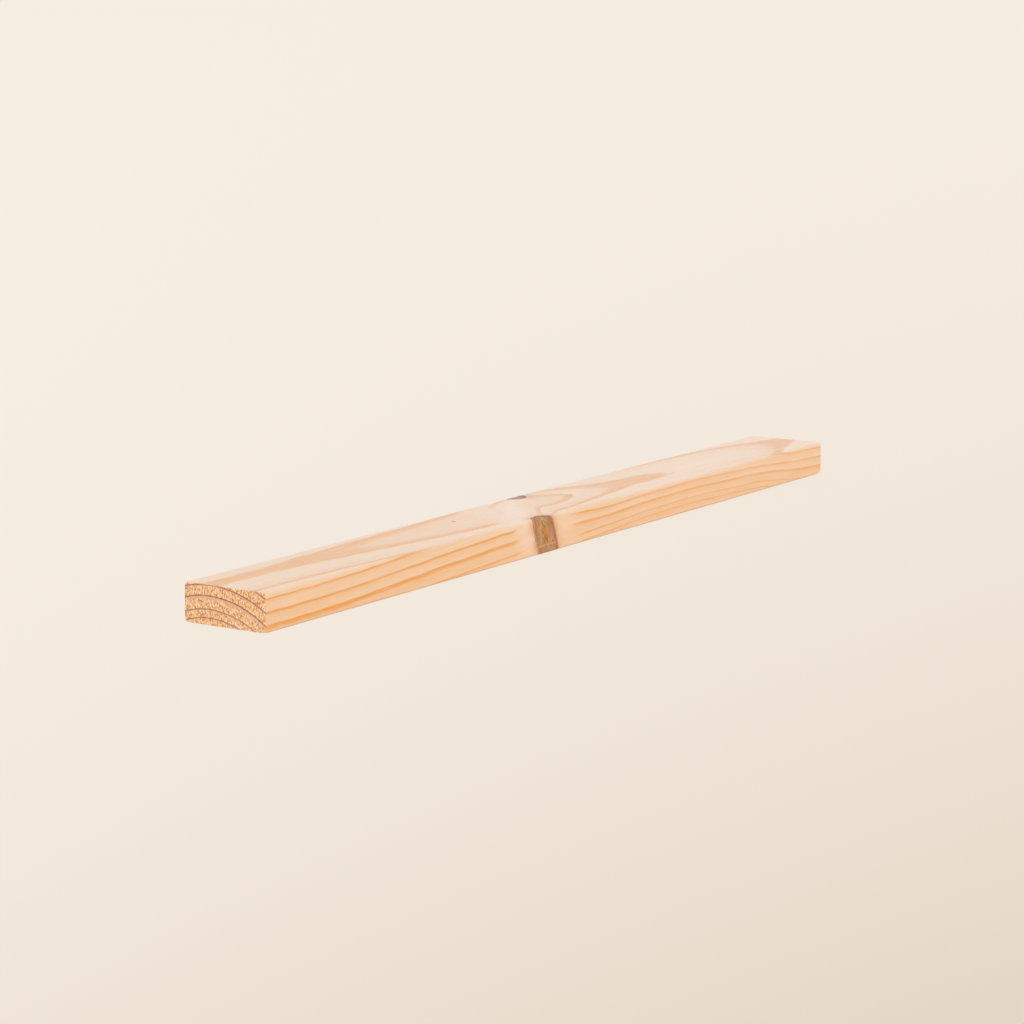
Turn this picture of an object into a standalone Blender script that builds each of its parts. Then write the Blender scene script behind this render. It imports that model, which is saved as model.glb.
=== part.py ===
"""A planed softwood batten, cut short, with two dead knots, a resin-filled check and a pin knot.

The batten lies flat on its wide face, along X. The origin is under its middle, on the face it rests on.
The near end is at -X and the near narrow edge is at -Y. Each piece of the wood that can come apart from
the rest is its own solid: the stem wood, each dead branch, the bark round it, the resin and the pin knot.
"""

import math

import bmesh
import bpy
from mathutils import Vector

# The stick
LENGTH = 0.510
WIDTH = 0.045
THICKNESS = 0.018
ARRIS_RADIUS = 0.0012
ARRIS_STEPS = 4
END_EASING = 0.0008
END_STEPS = 3

# Dead branches: where the middle of the branch lies at half thickness, and how far it leans for each
# metre that it rises. Both lean to the near end, which was the upper end in the tree.
NEAR_KNOT_X = -0.0341
NEAR_KNOT_OUTSIDE_EDGE = 0.0007
NEAR_KNOT_LEAN = (-0.39, -0.42)
NEAR_KNOT_RADIUS = 0.0075
NEAR_BARK = 0.0013

FAR_KNOT_X = 0.0072
FAR_KNOT_INSIDE_EDGE = 0.0024
FAR_KNOT_LEAN = (-0.30, 0.28)
FAR_KNOT_RADIUS = 0.0056
FAR_BARK = 0.0011

# The check in the near knot, open at the near edge and filled with resin. It stops short of the bark.
RESIN_LENGTH = 0.0112
RESIN_WIDTH = 0.0019
RESIN_ABOVE_MIDDLE = 0.0015
RESIN_FROM_KNOT_MIDDLE = 0.0002
RESIN_SHORT_OF_KNOT_BACK = 0.0009
RESIN_TILT = math.radians(25)

# The pin knot in the upper face
PIN_KNOT_X = -0.069
PIN_KNOT_Y = 0.0077
PIN_KNOT_RADIUS = 0.0009
PIN_KNOT_DEPTH = 0.006
PIN_KNOT_LEAN = (-0.3, 0.05)

# Seasoning gap round every piece that has dried loose, and how far cutters run past a face
GAP = 0.0003
OVERRUN = 0.004

ROUND_SIDES = 56
ARC_POINTS = 9
SMOOTH_ANGLE = math.radians(35)

STEM_WOOD = ((0.87, 0.60, 0.37), 0.5)
DEAD_WOOD = ((0.45, 0.24, 0.12), 0.6)
BARK = ((0.22, 0.11, 0.06), 0.8)
RESIN = ((0.60, 0.16, 0.02), 0.2)


def clear_scene():
    for thing in list(bpy.data.objects):
        bpy.data.objects.remove(thing)


def material(name, look):
    colour, roughness = look
    made = bpy.data.materials.new(name)
    made.use_nodes = True
    shader = made.node_tree.nodes["Principled BSDF"]
    shader.inputs["Base Color"].default_value = (*colour, 1.0)
    shader.inputs["Roughness"].default_value = roughness
    shader.inputs["Metallic"].default_value = 0.0
    made.diffuse_color = (*colour, 1.0)
    return made


def new_object(name, mesh_builder, look=None):
    mesh = bpy.data.meshes.new(name)
    bm = bmesh.new()
    mesh_builder(bm)
    bmesh.ops.recalc_face_normals(bm, faces=bm.faces)
    bm.to_mesh(mesh)
    bm.free()
    made = bpy.data.objects.new(name, mesh)
    bpy.context.scene.collection.objects.link(made)
    if look:
        mesh.materials.append(material(name, look))
    mesh.shade_smooth()
    mesh.set_sharp_from_angle(angle=SMOOTH_ANGLE)
    return made


def helper(name, mesh_builder):
    """A cutter or a bounding shape, which isn't a piece."""
    made = new_object(name, mesh_builder)
    made.hide_render = True
    made.display_type = "WIRE"
    return made


def boolean(target, operation, other):
    modifier = target.modifiers.new(operation.lower() + "_" + other.name, "BOOLEAN")
    modifier.operation = operation
    modifier.solver = "EXACT"
    modifier.object = other


def loft(bm, rings):
    """Joins rings of the same number of points, and closes the first and the last."""
    loops = [[bm.verts.new(point) for point in ring] for ring in rings]
    for lower, upper in zip(loops, loops[1:]):
        for index in range(len(lower)):
            after = (index + 1) % len(lower)
            bm.faces.new((lower[index], lower[after], upper[after], upper[index]))
    bm.faces.new(loops[0])
    bm.faces.new(loops[-1])


def near_knot_y():
    return -WIDTH / 2 - NEAR_KNOT_OUTSIDE_EDGE


def far_knot_y():
    return WIDTH / 2 - FAR_KNOT_INSIDE_EDGE


def stick_section(x, inset):
    """The batten's cross-section at x, a rectangle with its four arrises eased, drawn in by an inset."""
    points = []
    corners = ((1, 1, 0), (-1, 1, 90), (-1, -1, 180), (1, -1, 270))
    for side, up, start in corners:
        middle_y = side * (WIDTH / 2 - ARRIS_RADIUS)
        middle_z = THICKNESS / 2 + up * (THICKNESS / 2 - ARRIS_RADIUS)
        for step in range(ARRIS_STEPS + 1):
            angle = math.radians(start + 90 * step / ARRIS_STEPS)
            y = middle_y + (ARRIS_RADIUS - inset) * math.cos(angle)
            z = middle_z + (ARRIS_RADIUS - inset) * math.sin(angle)
            points.append((x, y, z))
    return points


def build_stick(bm):
    """A bar with that section, whose edges round both sawn ends are eased too."""
    turns = [math.pi / 2 * step / END_STEPS for step in range(END_STEPS + 1)]
    eased = [(END_EASING * math.sin(turn), END_EASING * (1 - math.cos(turn))) for turn in turns]
    shoulder = LENGTH / 2 - END_EASING
    far_end = [stick_section(shoulder + ahead, inset) for ahead, inset in eased]
    near_end = [stick_section(-shoulder - ahead, inset) for ahead, inset in eased]
    loft(bm, list(reversed(near_end)) + far_end)


def branch_ring(middle, axis, radius):
    """A circle round a branch, square to its axis."""
    across = axis.cross(Vector((0, 0, 1))).normalized()
    up = across.cross(axis)
    turn = 2 * math.pi / ROUND_SIDES
    return [
        middle + radius * (math.cos(turn * index) * across + math.sin(turn * index) * up)
        for index in range(ROUND_SIDES)
    ]


def branch(middle, lean, radius):
    """Builds a round rod that runs along a branch, past both wide faces."""
    axis = Vector((*lean, 1.0)).normalized()
    centre = Vector((*middle, THICKNESS / 2))
    reach = (THICKNESS / 2 + OVERRUN + radius) / axis.z

    def build(bm):
        ends = (centre - reach * axis, centre + reach * axis)
        loft(bm, [branch_ring(end, axis, radius) for end in ends])

    return build


def lens_outline(length, width):
    """A pointed lens made of two arcs, as (along, across) pairs."""
    half, bulge = length / 2, width / 2
    arc_radius = (half * half + bulge * bulge) / (2 * bulge)
    sweep = math.asin(half / arc_radius)
    angles = [sweep * (2 * index / (ARC_POINTS - 1) - 1) for index in range(ARC_POINTS)]
    side = [
        (arc_radius * math.sin(angle), arc_radius * (math.cos(angle) - math.cos(sweep)))
        for angle in angles
    ]
    return side + [(along, -across) for along, across in reversed(side[1:-1])]


def check_in_near_knot(clearance):
    """Builds the resin's lens, tilted with the branch, from inside the knot to past the near edge."""
    lean_x, lean_y = NEAR_KNOT_LEAN
    height = THICKNESS / 2 + RESIN_ABOVE_MIDDLE
    x = NEAR_KNOT_X + lean_x * RESIN_ABOVE_MIDDLE + RESIN_FROM_KNOT_MIDDLE
    highest = RESIN_ABOVE_MIDDLE + RESIN_LENGTH / 2
    knot_back = NEAR_KNOT_RADIUS * math.hypot(1, lean_y) + lean_y * highest
    inner_y = near_knot_y() + knot_back - RESIN_SHORT_OF_KNOT_BACK + clearance
    outer_y = -WIDTH / 2 - OVERRUN
    tip_clearance = clearance * RESIN_LENGTH / RESIN_WIDTH
    outline = lens_outline(RESIN_LENGTH + 2 * tip_clearance, RESIN_WIDTH + 2 * clearance)
    along = Vector((-math.sin(RESIN_TILT), math.cos(RESIN_TILT)))
    across = Vector((math.cos(RESIN_TILT), math.sin(RESIN_TILT)))

    def ring(y):
        flat = [a * along + b * across for a, b in outline]
        return [(x + point.x, y, height + point.y) for point in flat]

    def build(bm):
        loft(bm, [ring(inner_y), ring(outer_y)])

    return build


def pin(clearance):
    """Builds the pin knot's tapering plug, from a point in the wood to past the upper face."""
    axis = Vector((*PIN_KNOT_LEAN, 1.0)).normalized()
    foot = Vector((PIN_KNOT_X, PIN_KNOT_Y, THICKNESS)) - PIN_KNOT_DEPTH * axis
    foot_radius = PIN_KNOT_RADIUS / 2 + clearance
    top_radius = PIN_KNOT_RADIUS + clearance

    def build(bm):
        low = branch_ring(foot - clearance * axis, axis, foot_radius)
        high = branch_ring(foot + (PIN_KNOT_DEPTH + OVERRUN) * axis, axis, top_radius)
        loft(bm, [low, high])

    return build


def make_knot(name, middle, lean, radius, bark, stick):
    """A dead branch and its bark, trimmed to the batten, and the cutter for the pocket they sit in."""
    wood = new_object(name, branch(middle, lean, radius), DEAD_WOOD)
    boolean(wood, "INTERSECT", stick)

    bark_inside = radius + GAP
    bark_outside = bark_inside + bark
    bore = helper(name + "_bark_bore", branch(middle, lean, bark_inside))
    sleeve = new_object(name + "_bark", branch(middle, lean, bark_outside), BARK)
    boolean(sleeve, "INTERSECT", stick)
    boolean(sleeve, "DIFFERENCE", bore)

    pocket = helper(name + "_pocket", branch(middle, lean, bark_outside + GAP))
    return wood, pocket


def main():
    clear_scene()
    stick = helper("stick_outline", build_stick)
    batten = new_object("batten", build_stick, STEM_WOOD)

    near_middle = (NEAR_KNOT_X, near_knot_y())
    near_knot, near_pocket = make_knot(
        "near_edge_knot", near_middle, NEAR_KNOT_LEAN, NEAR_KNOT_RADIUS, NEAR_BARK, stick
    )
    far_middle = (FAR_KNOT_X, far_knot_y())
    far_pocket = make_knot(
        "far_edge_knot", far_middle, FAR_KNOT_LEAN, FAR_KNOT_RADIUS, FAR_BARK, stick
    )[1]

    check_opening = helper("resin_check_opening", check_in_near_knot(GAP))
    boolean(near_knot, "DIFFERENCE", check_opening)
    resin = new_object("resin_streak", check_in_near_knot(0.0), RESIN)
    boolean(resin, "INTERSECT", stick)

    pin_hole = helper("pin_knot_hole", pin(GAP))
    pin_knot = new_object("pin_knot", pin(0.0), DEAD_WOOD)
    boolean(pin_knot, "INTERSECT", stick)

    for cutter in (near_pocket, far_pocket, pin_hole):
        boolean(batten, "DIFFERENCE", cutter)


main()
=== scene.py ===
"""The looks of a planed pine batten: growth rings, knots, bark, resin and rough sawn ends.

Every growth ring comes from one solid field of ring heights, worked out here from how the heart of the
tree ran under the batten. The faces, the arrises, the sawn ends and the knot pockets all read that field,
so a ring carries on from one face to the next as it does in a real stick. Lengths named *_MM and
positions inside the field are in millimetres from the middle of the batten; the rest is in metres.
"""

import math

import bmesh
import bpy
import numpy as np
from mathutils import Matrix, Vector


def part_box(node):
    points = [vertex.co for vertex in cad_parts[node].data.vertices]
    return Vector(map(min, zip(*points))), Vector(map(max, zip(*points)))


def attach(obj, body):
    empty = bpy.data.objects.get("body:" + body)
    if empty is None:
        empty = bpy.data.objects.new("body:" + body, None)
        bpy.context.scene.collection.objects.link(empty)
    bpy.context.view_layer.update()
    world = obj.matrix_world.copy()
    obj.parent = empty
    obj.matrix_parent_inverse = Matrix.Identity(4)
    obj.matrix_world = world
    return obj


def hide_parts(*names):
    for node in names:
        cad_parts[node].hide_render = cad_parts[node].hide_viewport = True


MM = 0.001

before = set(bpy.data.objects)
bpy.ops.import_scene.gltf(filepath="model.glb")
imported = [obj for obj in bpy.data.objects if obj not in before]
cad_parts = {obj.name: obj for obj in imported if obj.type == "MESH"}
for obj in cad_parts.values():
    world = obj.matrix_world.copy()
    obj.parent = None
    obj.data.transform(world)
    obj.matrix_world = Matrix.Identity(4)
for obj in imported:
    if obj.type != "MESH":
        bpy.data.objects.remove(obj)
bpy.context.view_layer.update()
stick_low, stick_high = (np.array(corner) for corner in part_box("batten"))
CENTRE = (stick_low + stick_high) / 2
HALF_LENGTH, HALF_WIDTH, HALF_THICKNESS = (stick_high - stick_low) / 2 / MM

# The stick's eased arrises, and how finely its skin is meshed, in mm
ARRIS_MM = 1.0
ACROSS_STEP = 0.62
ALONG_STEP = 1.8
KNOT_ZONE = (-60.0, 26.0)
KNOT_ZONE_STEP = 0.75
END_ZONE = 3.0
END_ZONE_STEP = 0.3
END_EASING_MM = 0.55
LOW_CORNER_MM = 1.6
HIGH_CORNER_MM = 1.1
FAR_CORNER_MM = 0.5
FINE_STEP = 0.32
PIN_STEP = 0.16

# Dead branches: middle at half thickness in mm, lean in mm for each mm of rise, radius, bark thickness
NEAR_BRANCH = {"middle": (-34.1, -23.2), "lean": (-0.39, -0.42), "radius": 7.5, "bark": 1.3}
FAR_BRANCH = {"middle": (7.2, 20.1), "lean": (-0.30, 0.28), "radius": 5.6, "bark": 1.1}
PIN_BRANCH = {"middle": (-66.3, 7.25), "lean": (-0.30, 0.05), "radius": 0.9, "bark": 0.0}
KNOT_GAP_MM = 0.12
POCKET_GAP_MM = 0.12

# The resin-filled check
RESIN_LENGTH_MM = 11.2
RESIN_WIDTH_MM = 2.4
RESIN_ABOVE_MIDDLE_MM = 1.5
RESIN_FROM_KNOT_MIDDLE_MM = 0.2
RESIN_DEPTH_MM = 3.6
RESIN_TILT = math.radians(25)

# How the heart of the tree ran under the batten. For each place along it: how far the rings have risen
# (less is higher), where their crown lies across the width, and how deep the pith lies as the rings'
# curve shows it towards the near edge and towards the far edge.
HEART = (
    (-255, 0.22, 8.6, 49, 44),
    (-228, 0.38, 8.0, 49, 44),
    (-180, -0.02, 7.2, 51, 46),
    (-120, -0.85, 4.6, 55, 52),
    (-66, -1.75, 3.0, 58, 57),
    (0, -2.30, 3.5, 58, 57),
    (30, -1.50, 4.0, 62, 57),
    (60, -0.18, 1.2, 92, 52),
    (92, 0.25, -1.0, 112, 56),
    (116, 0.66, -2.4, 116, 56),
    (137, 1.05, -1.0, 118, 48),
    (160, 1.45, 0.2, 120, 40),
    (190, 2.20, 1.0, 110, 36),
    (220, 4.40, 0.5, 110, 52),
    (255, 5.60, 0.5, 110, 74),
)

# Where each ring ends in the field, how thick its dark latewood is, and how dark
RINGS = (
    (-19.0, 0.7, 0.8),
    (-14.2, 0.7, 0.8),
    (-9.9, 0.8, 0.9),
    (-5.2, 0.8, 0.9),
    (-1.4, 1.0, 0.8),
    (4.6, 2.1, 1.0),
    (9.45, 1.25, 0.95),
    (14.6, 1.1, 0.9),
    (20.3, 1.0, 0.9),
    (26.0, 1.0, 0.9),
)
RING_EDGE_MM = 0.22

# Colours, as linear red, green and blue
WOOD_PALE = (0.895, 0.590, 0.365)
WOOD_WARM = (0.880, 0.505, 0.250)
WOOD_LATE = (0.825, 0.325, 0.045)
WOOD_CALM = (0.925, 0.670, 0.480)
WOOD_STAIN = (0.740, 0.340, 0.115)
WOOD_CANAL = (0.560, 0.290, 0.120)
# Painted shade for the lower arrises of the long sides
LOW_ARRIS_SHADE = (0.400, 0.290, 0.240)
SAWN_PALE = (0.935, 0.545, 0.280)
SAWN_WARM = (0.870, 0.440, 0.165)
SAWN_MAUVE = (0.740, 0.430, 0.300)
SAWN_LINE = (0.400, 0.120, 0.066)
SAWN_FIBRE = (0.990, 0.790, 0.540)
SAWN_SHADE = (0.450, 0.175, 0.050)
POCKET_DARK = (0.200, 0.095, 0.045)
POCKET_PALE = (0.450, 0.240, 0.120)
NEAR_KNOT_LOOK = {
    "dark": (0.350, 0.155, 0.066),
    "middle": (0.540, 0.255, 0.098),
    "pale": (0.650, 0.345, 0.140),
    "grey": (0.540, 0.300, 0.145),
    "border": (0.430, 0.190, 0.082),
    "scratch": 0.85,
}
FAR_KNOT_LOOK = {
    "dark": (0.310, 0.165, 0.105),
    "middle": (0.570, 0.325, 0.195),
    "pale": (0.690, 0.435, 0.285),
    "grey": (0.560, 0.370, 0.250),
    "border": (0.460, 0.250, 0.155),
    "scratch": 0.0,
}
PIN_LOOK = NEAR_KNOT_LOOK | {
    "middle": (0.720, 0.430, 0.240),
    "border": (0.600, 0.330, 0.165),
    "scratch": 0.0,
}
NEAR_RIND_LOOK = {
    "dark": (0.440, 0.190, 0.092),
    "brown": (0.590, 0.275, 0.130),
    "red": (0.650, 0.315, 0.150),
}
FAR_RIND_LOOK = {
    "dark": (0.330, 0.155, 0.085),
    "brown": (0.530, 0.270, 0.150),
    "red": (0.620, 0.330, 0.190),
}
RESIN_DEEP = (0.570, 0.135, 0.005)
RESIN_AMBER = (0.680, 0.235, 0.022)
SKY = (0.925, 0.996, 1.075)
FLOOR_BRIGHT = (0.935, 0.858, 0.775)
FLOOR_DEEP = (0.765, 0.662, 0.545)


# ---------------------------------------------------------------- the ring field

HEART_TABLE = np.array(HEART, float)


def spline(x, column):
    """A natural cubic spline through one column of the heart's table."""
    xs, ys = HEART_TABLE[:, 0], HEART_TABLE[:, column]
    count, step = len(xs), np.diff(xs)
    system, right = np.eye(count), np.zeros(count)
    for i in range(1, count - 1):
        system[i, i - 1 : i + 2] = step[i - 1], 2 * (step[i - 1] + step[i]), step[i]
        right[i] = 6 * ((ys[i + 1] - ys[i]) / step[i] - (ys[i] - ys[i - 1]) / step[i - 1])
    bend = np.linalg.solve(system, right)
    i = np.clip(np.searchsorted(xs, x) - 1, 0, count - 2)
    after, before, h = x - xs[i], xs[i + 1] - x, step[i]
    curve = (bend[i] * before**3 + bend[i + 1] * after**3) / (6 * h)
    return (
        curve
        + (ys[i] / h - bend[i] * h / 6) * before
        + (ys[i + 1] / h - bend[i + 1] * h / 6) * after
    )


def lattice(cells, seed):
    """A repeatable number from 0 to 1 for each whole-numbered cell."""
    mixed = cells.astype(np.int64) @ np.array([374761393, 668265263, 2147483647]) + seed * 974634
    mixed = (mixed ^ (mixed >> 13)) * 1274126177 & 0xFFFFFFFF
    return ((mixed ^ (mixed >> 16)) & 0xFFFFFF) / 0xFFFFFF


def noise(points, size, seed):
    """Smooth noise from -1 to 1. size is one length, or one for each axis."""
    spots = points / np.asarray(size, float)
    cell = np.floor(spots)
    share = spots - cell
    share = share * share * (3 - 2 * share)
    total = np.zeros(len(points))
    for corner in np.ndindex(2, 2, 2):
        weight = np.prod(np.where(corner, share, 1 - share), axis=1)
        total += weight * lattice(cell + corner, seed)
    return 2 * total - 1


def smoothstep(value, low, high):
    share = np.clip((value - low) / (high - low), 0, 1)
    return share * share * (3 - 2 * share)


def branch_axis(branch):
    return np.array(Vector((*branch["lean"], 1.0)).normalized())


def from_branch(points, branch):
    """The way from a branch's middle line to each point, and how far up the branch the point is."""
    axis = branch_axis(branch)
    offset = points - np.array([*branch["middle"], 0.0])
    along = offset @ axis
    return offset - along[:, None] * axis, along


def off_branch(points, branch):
    """How far each point is from a branch's middle line."""
    return np.linalg.norm(from_branch(points, branch)[0], axis=1)


def pocket_radius(branch):
    around = KNOT_GAP_MM + branch["bark"] if branch["bark"] else 0
    return branch["radius"] + around + POCKET_GAP_MM


def off_pocket(points, branch):
    """How far each point is outside the pocket that a branch sits in."""
    return off_branch(points, branch) - pocket_radius(branch)


# The rings bulge upward where they wrap the two branches, in two lobes that lean with the branches. One is
# a rounded diamond downstream of the far knot, and a long one joins the knots. For each: its middle and its
# reach in mm on the upper face, how far it is turned, and how blunt it is.
BULGE_MM = 7.4
BULGE_LEAN = 0.35
BULGES = (
    ((0.5, 8.7), (29.5, 16.5), -14.0, 1.35),
    ((-28.5, -5.0), (25.0, 10.5), 49.0, 2.0),
)
NEAR_SWELL_MM = 3.0
NEAR_SWELL_FADE_MM = 3.5

# On the near side of the far half, the rings above one height in the field lie closer together
CLOSER_RINGS = 0.28
CLOSER_ABOVE = 9.45

# Where the grain swirls, behind the near knot, and the band of bleached wood that joins the knots
SWIRL_MIDDLE = (-34, 8)
SWIRL_REACH_MM = 18
PALE_BAND = ((-50.0, -22.0), (-8.0, 21.0))
PALE_REACH_MM = 9.0


def bulge(points):
    """1 at the middle of the bulge, and about a third at its edge."""
    x, y, z = points.T
    x = x + BULGE_LEAN * (z - HALF_THICKNESS)
    flat = 1.0
    for middle, reach, turned, power in BULGES:
        turn = math.radians(turned)
        along = (x - middle[0]) * math.cos(turn) + (y - middle[1]) * math.sin(turn)
        across = (y - middle[1]) * math.cos(turn) - (x - middle[0]) * math.sin(turn)
        away = (np.abs(along / reach[0]) ** power + np.abs(across / reach[1]) ** power) ** (1 / power)
        flat = flat * (1 - np.exp(-(away**2.2)))
    return 1 - flat


def ring_height(points):
    """The field: the height that each point's growth ring would have at the crown of an even board."""
    x, y, z = points.T
    rise, crown, near, far = (spline(x, column) for column in range(1, 5))
    across = y - crown
    pith = np.where(across < 0, near, far)
    height = np.hypot(across, pith + z) - pith + rise
    closer = CLOSER_RINGS * smoothstep(x, -15, 30) * (1 - smoothstep(x, 180, 255)) * smoothstep(y, 2, -14)
    height -= closer * np.maximum(CLOSER_ABOVE - height, 0)
    height -= BULGE_MM * bulge(points)
    from_near = np.maximum(off_pocket(points, NEAR_BRANCH), 0)
    height -= NEAR_SWELL_MM * np.exp(-from_near / NEAR_SWELL_FADE_MM)
    height += 0.07 * noise(points, (45, 14, 14), 3) + 0.04 * noise(points, (16, 5, 5), 4)
    return height


def calm_share(points):
    """1 where the grain is too disturbed by the knots to show its rings, 0 away from them."""
    near = off_pocket(points, NEAR_BRANCH)
    far = off_pocket(points, FAR_BRANCH)
    up = smoothstep(points[:, 2], 6.5, 8.8) * smoothstep(points[:, 1], -22.4, -19)
    upstream = 1 - smoothstep(near - 3 * up, 10 + 1.5 * (1 - up), 18 + 6 * up)
    downstream_side = 1 - smoothstep(near, 9, 26)
    downstream_top = 0.8 * (1 - smoothstep(near, -1, 3))
    downstream = up * downstream_top + (1 - up) * downstream_side
    past = smoothstep(points[:, 0], -40, -28)
    calm = np.maximum(past * downstream + (1 - past) * upstream, 0.75 * (1 - smoothstep(far, 1, 7)))
    from_swirl = np.hypot(points[:, 0] - SWIRL_MIDDLE[0], points[:, 1] - SWIRL_MIDDLE[1])
    return np.maximum(calm, 0.88 * up * np.exp(-((from_swirl / SWIRL_REACH_MM) ** 2)))


def pale_share(points):
    """1 in the band of bleached wood that joins the knots on their near side."""
    x, y, z = points.T
    x = x + BULGE_LEAN * (z - HALF_THICKNESS)
    start, end = np.array(PALE_BAND)
    way = end - start
    flat = np.stack([x, y], axis=1) - start
    share = np.clip(flat @ way / (way @ way), 0, 1)
    off = np.linalg.norm(flat - share[:, None] * way, axis=1)
    near = off_pocket(points, NEAR_BRANCH)
    beside_near = 0.6 * np.exp(-np.maximum(near, 0) / PALE_REACH_MM)
    return np.maximum(np.exp(-((off / PALE_REACH_MM) ** 2)), beside_near)


def stain_share(points):
    """1 where resin has soaked into the wood beside a knot."""
    near = off_pocket(points, NEAR_BRANCH)
    far = off_pocket(points, FAR_BRANCH)
    away, _ = from_branch(points, FAR_BRANCH)
    downstream = (0.8 * away[:, 0] - 0.6 * away[:, 1]) / np.maximum(far + pocket_radius(FAR_BRANCH), 1e-6)
    patchy = 0.65 + 0.5 * noise(points, (3.5, 3.5, 4.5), 9)
    beside_near = 1.9 * np.exp(-np.maximum(near, 0) / 2.6)
    beside_far = 1.8 * np.exp(-np.maximum(far, 0) / 3.6) * smoothstep(downstream, 0.35, 0.95)
    return np.clip(np.maximum(patchy * beside_near, beside_far), 0, 1)


def fibre_flow(points):
    """Places along the fibres, across them and from ring to ring, with the fibres parted by the knots."""
    across = points[:, 1].copy()
    for branch in (NEAR_BRANCH, FAR_BRANCH):
        away, _ = from_branch(points, branch)
        radius = pocket_radius(branch)
        squeeze = np.minimum(radius**2 / np.maximum((away**2).sum(axis=1), 1e-6), 1)
        across -= away[:, 1] * squeeze
    return np.stack([points[:, 0], across, ring_height(points)], axis=1)


def late_share(height):
    """How much of the wood is dark latewood, from 0 to 1, at a height in the field."""
    share = np.zeros(len(height))
    for outer, thickness, darkness in RINGS:
        rise = np.clip((height - outer + thickness) / thickness, 0, 1)
        fall = np.clip((outer + RING_EDGE_MM - height) / RING_EDGE_MM, 0, 1)
        share = np.maximum(share, darkness * rise * fall)
    return share


# ---------------------------------------------------------------- the skin of the stick

# Material slots of the batten
PLANED, SAWN, POCKET = 0, 1, 2


def steps(*zones):
    """Places along a line: each zone is a start, an end and about how far apart its places are."""
    places = []
    for start, end, step in zones:
        count = max(1, round((end - start) / step))
        places += [start + (end - start) * i / count for i in range(count)]
    return np.array([*places, zones[-1][1]])


class Section:
    """The stick's cross-section. It is walked from the middle of the lower face, over the near edge."""

    def __init__(self):
        flat = HALF_WIDTH - ARRIS_MM
        edge = 2 * (HALF_THICKNESS - ARRIS_MM)
        arc = ARRIS_MM * math.pi / 2
        lengths = (flat, arc, edge, arc, 2 * flat, arc, edge, arc, flat)
        self.joints = np.concatenate([[0.0], np.cumsum(lengths)])

    def at(self, walked):
        """The points (y, z) and outward directions at distances walked round the section."""
        y0, z0 = HALF_WIDTH - ARRIS_MM, HALF_THICKNESS - ARRIS_MM
        corners = ((-y0, -z0), (-y0, z0), (y0, z0), (y0, -z0))
        index = np.clip(np.searchsorted(self.joints, walked, side="right") - 1, 0, 8)
        past = walked - self.joints[index]
        points, outward = [], []
        for stretch, done in zip(index, past):
            corner = corners[(stretch - 1) // 2 % 4 if stretch else 3]
            turn = (stretch // 2) * math.pi / 2 + (done / ARRIS_MM if stretch % 2 else 0)
            way = np.array([-math.sin(turn), -math.cos(turn)])
            ahead = np.array([-math.cos(turn), math.sin(turn)])
            if stretch == 0:
                spot = np.array([0.0, -z0]) + ARRIS_MM * way + done * ahead
            else:
                spot = np.array(corner) + ARRIS_MM * way
                if stretch % 2 == 0:
                    spot += done * ahead
            points.append(spot)
            outward.append(way)
        return np.array(points), np.array(outward)

    def places(self, step, fine_step=None, fine=()):
        """Distances round the section, finer on the stretches whose numbers are in fine."""
        zones = [
            (start, end, fine_step if index in fine else step)
            for index, (start, end) in enumerate(zip(self.joints, self.joints[1:]))
        ]
        return steps(*zones)[:-1]


def planed_relief(points):
    """How far a planed face stands out, in mm: hard latewood a little proud, and a slight wave."""
    ridges = 0.018 * late_share(ring_height(points)) * (1 - calm_share(points))
    wave = 0.020 * noise(points, (38, 9, 9), 21) + 0.006 * noise(points, (9, 1.6, 1.6), 22)
    return ridges + wave


def worn_arris(points, outward):
    """How far an arris has worn back, in mm. It is 0 on the flat faces."""
    slope = 2 * np.abs(outward[:, 0] * outward[:, 1])
    bruises = smoothstep(noise(points, (3.4, 60, 60), 31), 0.45, 0.9)
    return slope * (0.07 + 0.05 * noise(points, (17, 60, 60), 32) + 0.16 * bruises)


def sawn_relief(points):
    """How far a sawn end stands out, in mm: saw lines, torn earlywood and firm latewood."""
    flat = points * np.array([0, 1, 1])
    late = late_share(ring_height(points))
    slant = flat[:, 2] + 0.16 * flat[:, 1]
    lines = 0.025 * np.sin(slant * 2 * math.pi / 1.35) + 0.02 * np.sin(slant * 2 * math.pi / 3.1)
    torn = 0.10 * noise(flat, 0.7, 41) + 0.06 * noise(flat, 1.5, 42)
    pits = -0.28 * smoothstep(noise(flat, (1, 0.9, 1.3), 43), 0.30, 0.75)
    return lines + (torn + pits) * (1 - 0.75 * late) + 0.05 * late - 0.03


def ease_ends(points):
    """Rounds the edges and the corners of the sawn ends, as handling does, the low near corners most."""
    half = np.array([HALF_LENGTH, HALF_WIDTH, HALF_THICKNESS])
    close = smoothstep(half - np.abs(points), 3.5, 0.3)
    near_side, low = points[:, 1] < 0, points[:, 2] < 0
    corner = np.where(near_side, np.where(low, LOW_CORNER_MM, HIGH_CORNER_MM), FAR_CORNER_MM)
    patchy = 1 + 0.35 * noise(points, (2.5, 5, 5), 35)
    radius = ARRIS_MM + (END_EASING_MM * patchy - ARRIS_MM) * close[:, 0] + corner * close.prod(axis=1)
    past = np.maximum(np.abs(points) - (half - radius[:, None]), 0)
    reach = np.linalg.norm(past, axis=1)
    pulled = (past > 0).sum(axis=1) > 1
    shrink = np.where(pulled & (reach > radius), radius / np.maximum(reach, 1e-9), 1.0)
    return np.where(past > 0, np.sign(points) * (half - radius[:, None] + past * shrink[:, None]), points)


def tube_faces(rings, count):
    """The faces between rings that have the same count of points, one ring after the other."""
    return [
        (i * count + j, i * count + (j + 1) % count, (i + 1) * count + (j + 1) % count, (i + 1) * count + j)
        for i in range(rings - 1)
        for j in range(count)
    ]


def cap_faces(rings, count):
    """One face over the first ring, and one over the last."""
    last = (rings - 1) * count
    return [tuple(range(count)), tuple(range(last, last + count))]


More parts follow.
